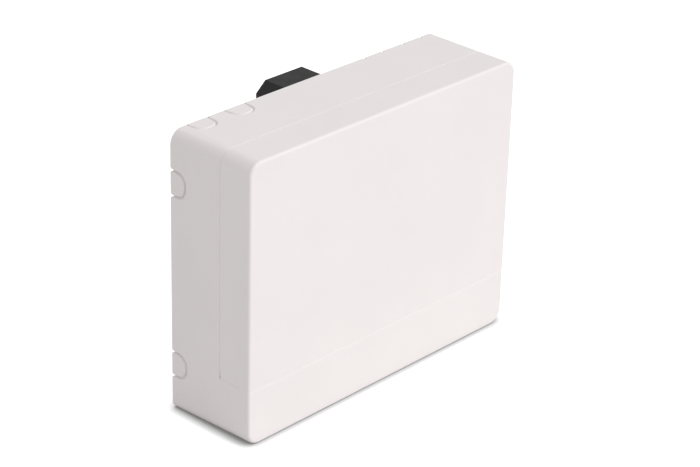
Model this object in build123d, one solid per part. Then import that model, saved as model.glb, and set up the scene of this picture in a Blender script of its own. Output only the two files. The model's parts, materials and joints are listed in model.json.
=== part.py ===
"""Fibre termination box for a 35 mm top-hat rail.

While the pieces are made, Y runs from the front face (Y = 0) to the rear and Z up from the
bottom face. save() then centres the box in Y, so the origin lies in the middle of its
footprint. All lengths are in millimetres.
"""
from build123d import *
import math
import os

# Case
box_width = 125.0
box_height = 100.0
box_depth = 36.0
corner_radius = 5.0
face_edge_radius = 1.0
rear_edge_radius = 0.3
seam_chamfer = 0.15
cover_depth = 13.3
cover_wall = 1.8
housing_wall = 2.3
back_wall = 2.0
seam_gap = 0.04
strip_height = 20.6
strip_edge_radius = 0.8
locating_lip_length = 2.0
locating_lip_wall = 1.4
locating_lip_root = 2.0
locating_lip_play = 0.3
fuse_depth = 0.5

# Fold-down cover and its hinge
rule_joint_fit = 0.05
hinge_setback = 2.2
hinge_rise = 3.65
hinge_pin_radius = 0.7
hinge_pin_length = 2.6
hinge_running_fit = 0.06
hinge_eye_wall = 0.64
hinge_arm_width = 2.1
hinge_arm_height = 3.1
hinge_arm_lift = 0.9
hinge_arm_nose = 3.2
hinge_clearance = 0.2
snap_tab_share = 0.64
snap_tab_width = 9.0
snap_tab_wall = 1.2
snap_tab_reach = 3.2
snap_bump = 0.5
snap_slot_room = 0.8
catch_length = 1.6
catch_setback = 0.2
cover_rib_height = 6.0
cover_rib_lift = 0.7

# Knock-outs for cables
knockout_width = 9.6
knockout_reach = 7.4
knockout_back_reach = 5.0
knockout_groove_width = 0.7
knockout_groove_bottom = 0.1
knockout_groove_depth = 0.4
knockout_back_depth = 0.8
knockout_notch = 1.6
knockout_round = 0.85
left_knockout_insets = (9.1, 25.4)
right_knockout_insets = (13.5, 32.7)
side_knockout_low = 16.9
side_knockout_top_inset = 17.8

# Connector adapters
adapter_count = 4
adapter_gap_share = 0.315
adapter_width = 12.8
adapter_thickness = 9.3
adapter_length = 27.5
adapter_chamfer = 0.5
adapter_recess = 5.4
adapter_setback = 0.9
flange_width = 22.0
flange_thickness = 2.0
flange_hole_radius = 1.1
flange_hole_pitch = 18.0
adapter_clearance = 0.15
socket_width = 9.1
socket_height = 7.5
socket_depth = 12.4
socket_key_width = 3.2
socket_key_depth = 0.6
insert_tube_radius = 2.3
insert_tube_wall = 0.55
insert_tube_length = 7.4
insert_arm_wall = 0.7
insert_arm_length = 9.0
insert_arm_share = 0.45
insert_hook = 0.5
insert_hook_length = 1.2
insert_play = 0.3
sleeve_radius = 1.6
sleeve_bore = 1.25
sleeve_length = 11.4
sleeve_slot = 0.5
cap_grip_width = 10.8
cap_grip_thickness = 8.8
cap_grip_length = 4.2
cap_grip_radius = 1.0
cap_groove_pitch = 1.2
cap_groove_width = 0.5
cap_groove_depth = 0.3
cap_plug_wall = 0.8
cap_plug_length = 4.6
cap_clearance = 0.15
holder_rib_wall = 2.0
holder_end_margin = 2.6
holder_support = 5.0
holder_web = 2.0
holder_web_setback = 4.0

# Splice tray
tray_side_room = 20.0
tray_low_gap = 2.75
tray_top_gap = 7.7
tray_corner_share = 0.4
tray_floor = 1.5
tray_wall = 1.2
tray_depth = 8.0
tray_back_gap = 4.5
drum_place_share = 0.25
drum_radius_share = 0.25
drum_wall = 1.2
drum_lift = 0.4
drum_tip_length = 3.5
tab_length = 5.0
tab_share = 0.3
tab_wall = 1.0
comb_slots = 6
comb_pitch = 4.0
comb_slot_width = 2.6
comb_base = 1.2
comb_length = 24.0
comb_depth = 5.4
comb_gap = 3.0
lid_wall = 1.2
lid_gap = 0.2
lid_notch_radius = 7.0
lid_notch_offset = 2.8
lid_tab_share = 0.26
lid_tab_wall = 1.2
lid_tab_reach = 2.2
lid_tab_play = 0.4

# Cable clamps and fasteners
clamp_side_room = 8.7
clamp_z = 52.0
clamp_screw_spread = 5.4
clamp_width = 7.0
clamp_wall = 2.6
clamp_seat = 6.0
clamp_arch = 1.0
clamp_shoulder = 0.6
clamp_round = 1.5
clamp_pad_height = 6.0
clamp_pad_drop = 1.5
clamp_pad_gap = 0.4
cable_radius = 2.2
post_radius = 2.4
tray_post_wall = 1.95
screw_radius = 1.25
screw_fit = 0.02
screw_head_radius = 2.3
screw_head_height = 1.6
screw_head_round = 0.7
screw_length = 6.0
screw_hole_clearance = 0.3
screw_recess_width = 0.7
screw_recess_reach = 1.25
screw_recess_depth = 0.8
wall_hole_radius = 2.25
wall_hole_side_inset = 12.5
wall_hole_low = 32.0
wall_hole_top_inset = 12.0

# Rail clip
clip_width = 25.5
clip_depth = 13.0
rail_stand_off = 5.5
rail_width = 35.0
rail_flange = 1.0
rail_flange_room = 0.4
rail_centre_share = 0.45
rail_side_room = 0.3
seat_relief = 0.4
bracket_low = 12.0
bracket_top_inset = 12.0
bracket_core_wall = 2.2
bracket_core_margin = 6.0
hook_reach = 3.0
hook_wall = 4.6
hook_heel = 5.0
hook_bevel = 2.0
hook_slot_share = 0.35
hook_slot_depth = 6.0
latch_channel_width = 20.6
latch_channel_floor = 2.2
latch_play = 0.3
latch_lip = 1.4
latch_lip_wall = 1.2
latch_lip_lift = 4.0
latch_tongue_lap = 1.2
latch_travel = 4.0
latch_nose_reach = 2.9
latch_nose_drop = 0.4
latch_nose_edge = 1.0
latch_nose_height = 9.2
latch_nose_bevel = 3.0
latch_nose_lead = 1.5
latch_top_inset = 1.7
head_chamfer_x = 4.2
head_chamfer_z = 3.6
head_wall = 2.2
spring_radius = 1.85
spring_wire_radius = 0.28
spring_turns = 6
spring_pressed_length = 6.2
spring_peg_radius = 1.2
spring_peg_length = 1.8
spring_room = 0.35
spring_stop_height = 3.0
spring_stop_inset = 1.0
bracket_screw_low = 20.0
bracket_screw_high = 50.0
bracket_screw_length = 6.0
bracket_screw_head = 2.8

# Sizes worked out from those above
total_depth = box_depth + clip_depth
half_width = box_width / 2
half_height = box_height / 2
seam_y = cover_depth + seam_gap
seam_z = strip_height + rule_joint_fit
cavity_x = half_width - housing_wall
cavity_high = box_height - housing_wall
back_inner_y = box_depth - back_wall
cover_inner_x = half_width - cover_wall
cover_inner_high = box_height - cover_wall
hinge_z = seam_z + hinge_rise
hinge_sweep = math.hypot(hinge_setback, hinge_rise)
hinge_hole_radius = hinge_pin_radius + hinge_running_fit
hinge_eye_radius = hinge_hole_radius + hinge_eye_wall
lip_inset = cover_wall + locating_lip_play
lip_back = seam_y + locating_lip_root
hinge_arm_outer_x = half_width - lip_inset
hinge_arm_inner_x = hinge_arm_outer_x - hinge_arm_width
snap_tab_offset = snap_tab_share * half_width
adapter_free_width = 2 * cavity_x - adapter_count * flange_width
adapter_pitch = flange_width + adapter_gap_share * adapter_free_width / (adapter_count - 1)
adapter_xs = [(i - (adapter_count - 1) / 2) * adapter_pitch for i in range(adapter_count)]
adapter_y = seam_y + adapter_setback + adapter_thickness / 2
adapter_front_y = adapter_y - adapter_thickness / 2
adapter_back_y = adapter_y + adapter_thickness / 2
adapter_mid_z = adapter_recess + adapter_length / 2
flange_low = adapter_mid_z - flange_thickness / 2
inner_cap_top = adapter_recess + adapter_length + cap_clearance + cap_grip_length
tray_width = box_width - 2 * tray_side_room
tray_low = inner_cap_top + tray_low_gap
tray_height = cavity_high - tray_top_gap - tray_low
tray_centre_z = tray_low + tray_height / 2
tray_corner = tray_corner_share * tray_height
tray_spread = tray_width / 2 - tray_corner
tab_width = tab_share * tray_spread
lid_tab_width = lid_tab_share * tray_spread
drum_offset = drum_place_share * tray_width
drum_radius = drum_radius_share * tray_height
tray_floor_back = back_inner_y - tray_back_gap
tray_floor_front = tray_floor_back - tray_floor
tray_rim_y = tray_floor_back - tray_depth
clamp_offset = cavity_x - clamp_side_room
clamp_seat_y = back_inner_y - clamp_seat
wall_hole_x = half_width - wall_hole_side_inset
rail_centre_z = rail_centre_share * box_height
rail_seat_y = box_depth + rail_stand_off
rail_low = rail_centre_z - rail_width / 2
rail_high = rail_centre_z + rail_width / 2
flange_back_y = rail_seat_y + rail_flange + rail_flange_room
hook_back_y = flange_back_y + hook_wall
hook_top = rail_low + hook_reach
bracket_top = box_height - bracket_top_inset
latch_top = box_height - latch_top_inset
channel_half = latch_channel_width / 2
channel_floor_y = box_depth + latch_channel_floor
tongue_front_y = channel_floor_y + latch_play
tongue_back_y = rail_seat_y - latch_play
tongue_mid_y = (tongue_front_y + tongue_back_y) / 2
tongue_low = rail_high - latch_tongue_lap
nose_low = rail_high - latch_nose_reach
nose_tip = nose_low - latch_nose_drop
lip_low = rail_high + latch_lip_lift
spring_stop_high = bracket_top - spring_stop_inset
spring_stop_low = spring_stop_high - spring_stop_height
spring_window_low = spring_stop_low - spring_pressed_length - latch_travel
spring_half_room = spring_radius + spring_wire_radius + spring_room

os.makedirs("parts", exist_ok=True)


def save(shape, name):
    """Write one piece, moved to the frame whose origin is the middle of the footprint."""
    export_step(Pos(0, -total_depth / 2, 0) * shape, f"parts/{name}.step")


def block(x0, x1, y0, y1, z0, z1):
    """Box between two corners."""
    centre = ((x0 + x1) / 2, (y0 + y1) / 2, (z0 + z1) / 2)
    return Pos(*centre) * Box(abs(x1 - x0), abs(y1 - y0), abs(z1 - z0))


def front_plane(y):
    """Plane parallel to the front face at depth y, with its normal towards the front."""
    return Plane.XZ.offset(-y)


def outline(y, inset, radius):
    """Rounded outline of the box, inset all round, at depth y."""
    width = box_width - 2 * inset
    height = box_height - 2 * inset
    return front_plane(y) * Pos(0, half_height) * RectangleRounded(width, height, radius)


def rod(radius, start, end):
    """Cylinder between two points on a line parallel to an axis."""
    line = Vector(*end) - Vector(*start)
    return Plane(origin=start, z_dir=line) * extrude(Circle(radius), line.length)


def side_profile(x0, x1, points):
    """Solid between x0 and x1 whose section is the polygon of (y, z) points."""
    face = Plane.YZ.offset(x0) * Polygon(*points, align=None)
    return extrude(face, x1 - x0, dir=(1, 0, 0))


def mirrored(shape):
    """A shape with its copy on the other side of the middle plane."""
    return shape + mirror(shape, Plane.YZ)


def front_block(depth):
    """Solid form of the front of the box, from its rounded face edge to a depth."""
    body = extrude(outline(depth, 0, corner_radius), depth)
    return fillet(body.faces().sort_by(Axis.Y)[0].edges(), face_edge_radius)


def hinge_cylinder(radius, x0, x1):
    return rod(radius, (x0, hinge_setback, hinge_z), (x1, hinge_setback, hinge_z))


def make_front_cover():
    """Fold-down cover. Its lower edge is turned about the hinge line, as a rule joint is.

    The rear lower corner is turned about the same line, so it stays clear of the housing.
    """
    shell = front_block(cover_depth)
    shell = chamfer(shell.faces().sort_by(Axis.Y)[-1].edges(), seam_chamfer)
    inner_radius = corner_radius - cover_wall
    shell -= extrude(outline(cover_depth, cover_wall, inner_radius), cover_depth - cover_wall)
    upper = block(-box_width, box_width, -1, cover_depth + 1, seam_z, box_height + 1)
    knuckle = hinge_cylinder(hinge_sweep, -box_width, box_width)
    cover = shell & (upper + knuckle)
    corner = block(-box_width, box_width, hinge_setback, cover_depth + 1, 0, hinge_z)
    cover -= corner - hinge_cylinder(cover_depth - hinge_setback, -box_width, box_width)
    pocket_radius = hinge_eye_radius + hinge_clearance
    pocket = hinge_cylinder(pocket_radius, hinge_arm_inner_x - hinge_clearance, cover_inner_x)
    cover -= mirrored(pocket)
    pin_end = cover_inner_x - hinge_pin_length
    cover += mirrored(hinge_cylinder(hinge_pin_radius, pin_end, cover_inner_x + cover_wall / 2))
    rib_low = hinge_z + cover_rib_lift
    rib_back = adapter_front_y - adapter_clearance
    half = cover_wall / 2
    for x in adapter_xs:
        cover += block(x - half, x + half, half, rib_back, rib_low, rib_low + cover_rib_height)
    return cover + mirrored(snap_tab())


def snap_tab():
    """Sprung tab behind the upper edge, from the front wall to just behind the seam."""
    top = cavity_high - 2 * snap_bump - 2 * hinge_clearance
    low = top - snap_tab_wall
    back = seam_y + snap_tab_reach
    points = [
        (cover_wall / 2, low),
        (back, low),
        (back, top + snap_bump / 2),
        (back - snap_bump, top + snap_bump),
        (back - 3 * snap_bump, top),
        (cover_wall / 2, top),
    ]
    half = snap_tab_width / 2
    tab = side_profile(snap_tab_offset - half, snap_tab_offset + half, points)
    root = block(
        snap_tab_offset - cover_wall / 2,
        snap_tab_offset + cover_wall / 2,
        cover_wall / 2,
        cover_depth - cover_wall,
        top - snap_tab_wall / 2,
        cover_inner_high + cover_wall / 2,
    )
    return tab + root


def groove(half, reach, start):
    """V-shaped groove round a knock-out, cut from its plane inwards."""
    slope = (knockout_groove_width - knockout_groove_bottom) / 2
    angle = math.degrees(math.atan(slope / knockout_groove_depth))
    outer = knockout_loop(half, reach, start)
    inner_reach = reach - knockout_groove_width
    inner = knockout_loop(half - knockout_groove_width, inner_reach, start - 2 * knockout_groove_width)
    outside = extrude(outer, knockout_groove_depth, taper=angle)
    return outside - extrude(inner, knockout_groove_depth, taper=-angle)


def knockout_loop(half, reach, start):
    """Area of a knock-out on the wall: straight from its start, then round at its far end."""
    radius = half * knockout_round
    edge = (Align.CENTER, Align.MIN)
    flat = Pos(0, start) * Rectangle(2 * half, reach - radius - start, align=edge)
    bar = Pos(0, reach - radius) * Rectangle(2 * (half - radius), radius, align=edge)
    corner = Pos(half - radius, reach - radius) * Circle(radius)
    return flat + bar + corner + mirror(corner, Plane.YZ)


def knockout_cuts(centre, inward, grooved_outside=True, notched=True):
    """Cuts round a knock-out: the groove in the wall, the slot in the back, a notch at each end.

    centre is the middle of the knock-out on the rear edge, and inward points into the wall.
    """
    forward = Vector(0, -1, 0)
    into = Vector(*inward)
    across = forward.cross(into)
    half = knockout_width / 2
    wall = Plane(origin=centre, x_dir=across, z_dir=into)
    if grooved_outside:
        cuts = [wall * groove(half, knockout_reach, -2 * knockout_groove_width)]
    else:
        inside = Vector(*centre) + into * housing_wall + forward * back_wall
        plane = Plane(origin=inside, x_dir=across * -1, z_dir=into * -1)
        cuts = [plane * groove(half, knockout_reach - back_wall, knockout_groove_width)]
    back = Plane(origin=centre, x_dir=into.cross(forward), z_dir=forward)
    start = (Align.CENTER, Align.MIN)
    ring = Rectangle(knockout_width, knockout_back_reach, align=start)
    inner_width = knockout_width - 2 * knockout_groove_width
    ring -= Rectangle(inner_width, knockout_back_reach - knockout_groove_width, align=start)
    cuts.append(back * extrude(ring, knockout_back_depth))
    if notched:
        reach = knockout_notch / 2
        notch = extrude(Polygon((-reach, 0), (reach, 0), (0, 2 * reach), align=None), knockout_notch)
        middle = half - knockout_groove_width / 2
        cuts += [wall * Pos(-middle, 0) * notch, wall * Pos(middle, 0) * notch]
    return cuts


def all_knockout_cuts():
    """Knock-outs of the top and of both sides. The right pair on top is grooved from inside."""
    cuts = []
    for inset in left_knockout_insets:
        centre = (inset - half_width, box_depth, box_height)
        cuts += knockout_cuts(centre, (0, 0, -1), notched=False)
    for inset in right_knockout_insets:
        centre = (half_width - inset, box_depth, box_height)
        cuts += knockout_cuts(centre, (0, 0, -1), grooved_outside=False)
    for z in (side_knockout_low, box_height - side_knockout_top_inset):
        for side in (-1, 1):
            cuts += knockout_cuts((side * half_width, box_depth, z), (-side, 0, 0))
    return cuts


def housing_shell():
    """Rear tray of one piece with the lower front strip, hollowed from the seam."""
    rear = extrude(outline(box_depth, 0, corner_radius), box_depth - seam_y)
    rear = fillet(rear.faces().sort_by(Axis.Y)[-1].edges(), rear_edge_radius)
    eased = chamfer(rear.faces().sort_by(Axis.Y)[0].edges(), seam_chamfer)
    lower = block(-box_width, box_width, -1, box_depth + 1, -1, strip_height)
    strip = front_block(seam_y) & lower
    strip = fillet(strip_edges(strip), strip_edge_radius)
    strip -= hinge_cylinder(hinge_sweep + rule_joint_fit, -box_width, box_width)
    shell = (eased - lower) + (rear & lower) + strip
    hollow = outline(back_inner_y, housing_wall, corner_radius - housing_wall)
    return shell - extrude(hollow, back_inner_y - cover_wall)


def strip_edges(strip):
    """Upper outer edges of the strip, on its front and on both sides."""
    reach = strip_edge_radius / 2
    top_edges = strip.edges().filter_by_position(Axis.Z, strip_height - reach, strip_height + reach)
    return [e for e in top_edges if e.center().Y < seam_y - reach]


def make_rear_housing():
    """Moulded housing with the knock-outs, the adapter holder and every post."""
    housing = housing_shell()
    housing += locating_lip()
    housing -= mirrored(snap_slot())
    housing += mirrored(snap_catch())
    housing += mirrored(hinge_arm())
    housing += adapter_holder()
    housing += posts()
    window_front = adapter_front_y - 2 * adapter_clearance
    window_back = adapter_back_y + 2 * adapter_clearance
    for x in adapter_xs:
        half = adapter_width / 2 + 2 * adapter_clearance
        housing -= block(x - half, x + half, window_front, window_back, -1, adapter_recess + 1)
    for cut in all_knockout_cuts():
        housing -= cut
    for x in (-wall_hole_x, wall_hole_x):
        for z in (wall_hole_low, box_height - wall_hole_top_inset):
            housing -= rod(wall_hole_radius, (x, back_inner_y - 1, z), (x, box_depth + 1, z))
    for z in (bracket_screw_low, bracket_screw_high):
        housing -= rod(screw_radius + screw_hole_clearance, (0, back_inner_y - 1, z), (0, box_depth + 1, z))
        housing -= countersink(z, screw_hole_clearance / 2)
    return housing


def locating_lip():
    """Lip that stands out of the housing above the strip and guides the cover."""
    length = locating_lip_length + locating_lip_root
    lip = extrude(outline(lip_back, lip_inset, corner_radius - lip_inset), length)
    inner_inset = lip_inset + locating_lip_wall
    lip -= extrude(outline(lip_back + 1, inner_inset, corner_radius - inner_inset), length + 2)
    return lip - block(-box_width, box_width, 0, box_depth, -1, strip_height - fuse_depth)


def snap_slot():
    """Slot in the lip that the snap tab of the cover passes."""
    half = snap_tab_width / 2 + snap_slot_room
    low = cavity_high - locating_lip_wall - 1
    return block(
        snap_tab_offset - half, snap_tab_offset + half, 0, lip_back + 1, low, cavity_high + locating_lip_play
    )


def snap_catch():
    """Ridge inside the top wall that the bump of the snap tab drops behind."""
    half = snap_tab_width / 2 + snap_slot_room
    front = seam_y + catch_setback
    root = cavity_high + snap_bump
    crest = cavity_high - snap_bump / 2
    quarter = catch_length / 4
    points = [
        (front, root),
        (front + quarter, crest),
        (front + 3 * quarter, crest),
        (front + catch_length, root),
    ]
    return side_profile(snap_tab_offset - half, snap_tab_offset + half, points)


def countersink(z, grow):
    """Cone of a countersunk head that sits flush with the inside of the back wall."""
    plane = Plane(origin=(0, back_inner_y, z), z_dir=(0, 1, 0))
    depth = bracket_screw_head - screw_radius
    start = (Align.CENTER, Align.CENTER, Align.MIN)
    return plane * Cone(bracket_screw_head + grow, screw_radius + grow, depth, align=start)


def hinge_arm():
    """Arm of the housing that reaches forward over the hinge sweep and holds the hinge pin."""
    low = hinge_z + hinge_arm_lift
    high = low + hinge_arm_height
    points = [
        (hinge_setback, hinge_z + hinge_eye_radius),
        (hinge_setback + hinge_arm_nose, high),
        (lip_back, high),
        (lip_back, low),
        (hinge_setback + hinge_arm_lift, low),
        (hinge_setback, hinge_z),
    ]
    arm = side_profile(hinge_arm_inner_x, hinge_arm_outer_x, points)
    arm += hinge_cylinder(hinge_eye_radius, hinge_arm_inner_x, hinge_arm_outer_x)
    return arm - hinge_cylinder(hinge_hole_radius, hinge_arm_inner_x - 1, hinge_arm_outer_x + 1)


def adapter_holder():
    """Two ribs across the housing that take the flanges of the adapters between them."""
    slot_low = flange_low - adapter_clearance / 2
    slot_high = flange_low + flange_thickness + adapter_clearance / 2
    slot_back = adapter_back_y + adapter_clearance
    low = slot_low - holder_rib_wall
    high = slot_high + holder_rib_wall
    reach = adapter_xs[-1] + flange_width / 2 + holder_end_margin
    front = seam_y + catch_setback
    holder = block(-reach, reach, front, adapter_back_y + holder_support, low, high)
    for x in adapter_xs:
        half = adapter_width / 2 + adapter_clearance
        half_flange = flange_width / 2 + adapter_clearance
        holder -= block(x - half, x + half, 0, slot_back, low - 1, high + 1)
        holder -= block(x - half_flange, x + half_flange, 0, slot_back, slot_low, slot_high)
    half = holder_web / 2
    between = [x + adapter_pitch / 2 for x in adapter_xs[:-1]]
    for x in [half - reach, *between, reach - half]:
        holder += block(x - half, x + half, front + holder_web_setback, back_inner_y + fuse_depth, low, high)
    return holder


def posts():
    """Screw posts of the splice tray and of the cable clamps, and the pads under the cables."""
    result = Part()
    root = back_inner_y + fuse_depth
    for x in (-drum_offset, drum_offset):
        post = rod(screw_radius + tray_post_wall, (x, root, tray_centre_z), (x, tray_floor_back, tray_centre_z))
        pilot_start = (x, back_inner_y, tray_centre_z)
        result += post - rod(screw_radius, pilot_start, (x, tray_floor_back - 1, tray_centre_z))
    for side in (-1, 1):
        for spread in (-clamp_screw_spread, clamp_screw_spread):
            x = side * clamp_offset + spread
            post = rod(post_radius, (x, root, clamp_z), (x, clamp_seat_y, clamp_z))
            result += post - rod(screw_radius, (x, back_inner_y, clamp_z), (x, clamp_seat_y - 1, clamp_z))
        result += clamp_pad(side * clamp_offset)
    return result


def clamp_pad(x):
    """Grooved pad that a clamp presses its cable on."""
    half = clamp_screw_spread - post_radius + clamp_pad_gap
    low = clamp_z - clamp_pad_height / 2
    high = clamp_z + clamp_pad_height / 2
    pad = block(x - half, x + half, clamp_seat_y + clamp_pad_drop, back_inner_y + fuse_depth, low, high)
    return pad - rod(cable_radius, (x, clamp_seat_y, low - 1), (x, clamp_seat_y, high + 1))


def make_adapter(x):
    """Flanged adapter housing with a socket at each end and a web between them."""
    body = Box(adapter_width, adapter_thickness, adapter_length)
    body = chamfer(body.edges().filter_by(Axis.Z), adapter_chamfer)
    body += Box(flange_width, adapter_thickness, flange_thickness)
    arm_room = insert_arm_wall + 2 * insert_play
    for end in (-1, 1):
        middle = end * (adapter_length - socket_depth) / 2
        opening = Pos(0, 0, middle + end * fuse_depth)
        length = socket_depth + 2 * fuse_depth
        body -= opening * Box(socket_width, socket_height, length)
        body -= opening * Pos(0, -socket_height / 2) * Box(socket_key_width, 2 * socket_key_depth, length)
        for side in (-1, 1):
            inner = side * (socket_width + insert_arm_wall) / 2
            height = insert_arm_share * socket_height + 4 * insert_play
            body -= Pos(inner, 0, middle) * Box(arm_room, height, socket_depth)
            body -= Pos(side * flange_hole_pitch / 2, 0, 0) * Cylinder(flange_hole_radius, adapter_length)
    body -= Cylinder(insert_tube_radius + adapter_clearance, adapter_length)
    return Pos(x, adapter_y, adapter_mid_z) * body


def make_insert(x):
    """Tube that carries the alignment sleeve, with two sprung arms at each end."""
    inner = insert_tube_radius - insert_tube_wall
    insert = Cylinder(insert_tube_radius, 2 * insert_tube_length) - Cylinder(inner, 3 * insert_tube_length)
    root = adapter_length / 2 - socket_depth + insert_play
    half = insert_arm_share * socket_height / 2
    for end in (-1, 1):
        bridge = Box(socket_width - insert_play, 2 * half, insert_arm_wall) - Cylinder(inner, insert_tube_length)
        insert += Pos(0, 0, end * (root + insert_arm_wall / 2)) * bridge
        start = end * root
        stop = start + end * insert_arm_length
        for side in (-1, 1):
            arm_x = side * (socket_width - insert_play) / 2
            insert += block(arm_x - side * insert_arm_wall, arm_x, -half, half, start, stop)
            hook_x = arm_x - side * (insert_arm_wall + insert_hook)
            insert += block(hook_x, arm_x, -half, half, stop - end * insert_hook_length, stop)
    return Pos(x, adapter_y, adapter_mid_z) * insert


def make_sleeve(x):
    """Split alignment sleeve."""
    sleeve = Cylinder(sleeve_radius, sleeve_length) - Cylinder(sleeve_bore, sleeve_length + 2)
    sleeve -= Pos(0, sleeve_radius, 0) * Box(sleeve_slot, 2 * sleeve_radius, sleeve_length + 2)
    return Pos(x, adapter_y, adapter_mid_z) * sleeve


def make_cap(x, end):
    """Dust cap: a hollow plug in the socket and a grooved grip outside it."""
    arm_room = insert_arm_wall + insert_hook + insert_play
    plug_width = socket_width - 2 * cap_clearance - 2 * arm_room
    plug_height = socket_height - 2 * cap_clearance
    grip = Box(cap_grip_width, cap_grip_thickness, cap_grip_length)
    grip = fillet(grip.edges().filter_by(Axis.Z), cap_grip_radius)
    grip = chamfer(grip.faces().sort_by(Axis.Z)[0].edges(), cap_grip_radius / 2)
    finger_groove = Box(cap_grip_width, 2 * cap_groove_depth, cap_groove_width)
    for y in (-cap_grip_thickness / 2, cap_grip_thickness / 2):
        for step in (-1, 0, 1):
            grip -= Pos(0, y, step * cap_groove_pitch) * finger_groove
    length = cap_plug_length + fuse_depth
    plug = Box(plug_width, plug_height, length)
    plug -= Box(plug_width - 2 * cap_plug_wall, plug_height - 2 * cap_plug_wall, 2 * length)
    cap = grip + Pos(0, 0, (cap_grip_length + length) / 2 - fuse_depth) * plug
    if end > 0:
        cap = Rot(180, 0, 0) * cap
    z = adapter_mid_z + end * (adapter_length / 2 + cap_clearance + cap_grip_length / 2)
    return Pos(x, adapter_y, z) * cap


def tray_outline(y, inset):
    width = tray_width - 2 * inset
    height = tray_height - 2 * inset
    return front_plane(y) * Pos(0, tray_centre_z) * RectangleRounded(width, height, tray_corner - inset)


def make_splice_tray():
    """Oval tray with two half drums that keep the fibre at its bend radius."""
    tray = extrude(tray_outline(tray_floor_back, 0), tray_depth)
    tray -= extrude(tray_outline(tray_floor_front, tray_wall), tray_depth)
    half_x = (tray_width - tray_wall) / 2
    half_z = (tray_height - tray_wall) / 2
    tab_y = tray_rim_y + tab_wall
    for side in (-1, 1):
        z0 = tray_centre_z + side * half_z
        for x in (-tray_spread, 0, tray_spread):
            tray += block(x - tab_width / 2, x + tab_width / 2, tray_rim_y, tab_y, z0, z0 - side * tab_length)
        x0 = side * half_x
        low = tray_centre_z - tab_width / 2
        tray += block(x0, x0 - side * tab_length, tray_rim_y, tab_y, low, low + tab_width)
        tray += drum(side)
        x = side * drum_offset
        hole = screw_radius + screw_hole_clearance
        tray -= rod(hole, (x, tray_rim_y, tray_centre_z), (x, tray_floor_back + 1, tray_centre_z))
    return tray


def drum(side):
    """Half drum, open towards the comb, with a tab over the fibre at its outer end."""
    front = tray_rim_y + tab_wall + drum_lift
    root = tray_floor_front + tray_floor / 4
    ring = Circle(drum_radius) - Circle(drum_radius - drum_wall)
    keep = Pos(side * drum_radius / 2, 0) * Rectangle(drum_radius, 2 * drum_radius)
    face = front_plane(root) * Pos(side * drum_offset, tray_centre_z) * (ring & keep)
    tip_x = side * (drum_offset + drum_radius - drum_wall / 2)
    half = tab_width / 2
    tip_end = tip_x + side * drum_tip_length
    tip = block(tip_x, tip_end, front, front + tab_wall, tray_centre_z - half, tray_centre_z + half)
    return extrude(face, root - front) + tip


def make_splice_comb():
    """Comb with a groove for each splice sleeve, on the floor of the tray."""
    wall = comb_pitch - comb_slot_width
    height = comb_slots * comb_pitch + wall
    front = tray_floor_front - comb_depth
    base = tray_floor_front - comb_base
    half = comb_length / 2
    z0 = tray_centre_z - height / 2
    comb = block(-half, half, front, tray_floor_front, z0, z0 + height)
    for i in range(comb_slots):
        low = z0 + wall + i * comb_pitch
        comb -= block(-half - 1, half + 1, front - 1, base, low, low + comb_slot_width)
    return comb - block(-comb_gap, comb_gap, front - 1, base - comb_base, z0 - 1, z0 + height + 1)


def make_tray_lid():
    """Clear lid on the rim of the tray, with two thumb notches and four locating tabs."""
    back = tray_rim_y - lid_gap
    lid = extrude(tray_outline(back, 0), lid_wall)
    half = lid_tab_width / 2
    for side in (-1, 1):
        x = side * (tray_width / 2 + lid_notch_offset)
        lid -= rod(lid_notch_radius, (x, back + 1, tray_centre_z), (x, back - lid_wall - 1, tray_centre_z))
        outer = tray_centre_z + side * (tray_height / 2 - tray_wall - lid_tab_play)
        inner = outer - side * lid_tab_wall
        for x in (-tray_spread / 2, tray_spread / 2):
            lid += block(x - half, x + half, back - lid_wall / 2, back + lid_tab_reach, inner, outer)
    return lid


def make_clamp(side):
    """Cable clamp: a bar with a groove for the cable and a hole over each post."""
    x = side * clamp_offset
    reach = clamp_screw_spread + post_radius
    front = clamp_seat_y - clamp_wall
    arch = cable_radius * 0.6
    shoulder = cable_radius + clamp_shoulder
    points = [
        (x - reach, clamp_seat_y),
        (x - reach, front),
        (x - shoulder, front),
        (x - arch, front - clamp_arch),
        (x + arch, front - clamp_arch),
        (x + shoulder, front),
        (x + reach, front),
        (x + reach, clamp_seat_y),
    ]
    face = Plane.XY.offset(clamp_z - clamp_width / 2) * Polygon(*points, align=None)
    clamp = extrude(face, clamp_width, dir=(0, 0, 1))
    clamp = fillet(clamp.edges().filter_by(Axis.Y).group_by(Axis.X)[0], clamp_round)
    clamp = fillet(clamp.edges().filter_by(Axis.Y).group_by(Axis.X)[-1], clamp_round)
    groove_y = clamp_seat_y + clamp_pad_gap
    clamp -= rod(cable_radius, (x, groove_y, clamp_z - clamp_width), (x, groove_y, clamp_z + clamp_width))
    for spread in (-clamp_screw_spread, clamp_screw_spread):
        hole = screw_radius + screw_hole_clearance
        clamp -= rod(hole, (x + spread, front - 1, clamp_z), (x + spread, clamp_seat_y + 1, clamp_z))
    return clamp


def screw(x, y, z, length):
    """Pan-head screw whose head seats at depth y and whose shank runs to the rear."""
    head = rod(screw_head_radius, (x, y, z), (x, y - screw_head_height, z))
    head = fillet(head.faces().sort_by(Axis.Y)[0].edges(), screw_head_round)
    shank = rod(screw_radius - screw_fit, (x, y - screw_head_height / 4, z), (x, y + length, z))
    return cross_recess(head + shank, x, y - screw_head_height, z)


def cross_recess(body, x, y, z):
    half = screw_recess_width / 2
    reach = screw_recess_reach
    body -= block(x - half, x + half, y - 1, y + screw_recess_depth, z - reach, z + reach)
    return body - block(x - reach, x + reach, y - 1, y + screw_recess_depth, z - half, z + half)


def bracket_screw(z):
    """Countersunk screw from inside the back wall into the rail bracket."""
    body = countersink(z, 0)
    body += rod(screw_radius - screw_fit, (0, back_inner_y, z), (0, back_inner_y + bracket_screw_length, z))
    return cross_recess(body, 0, back_inner_y, z)


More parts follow.
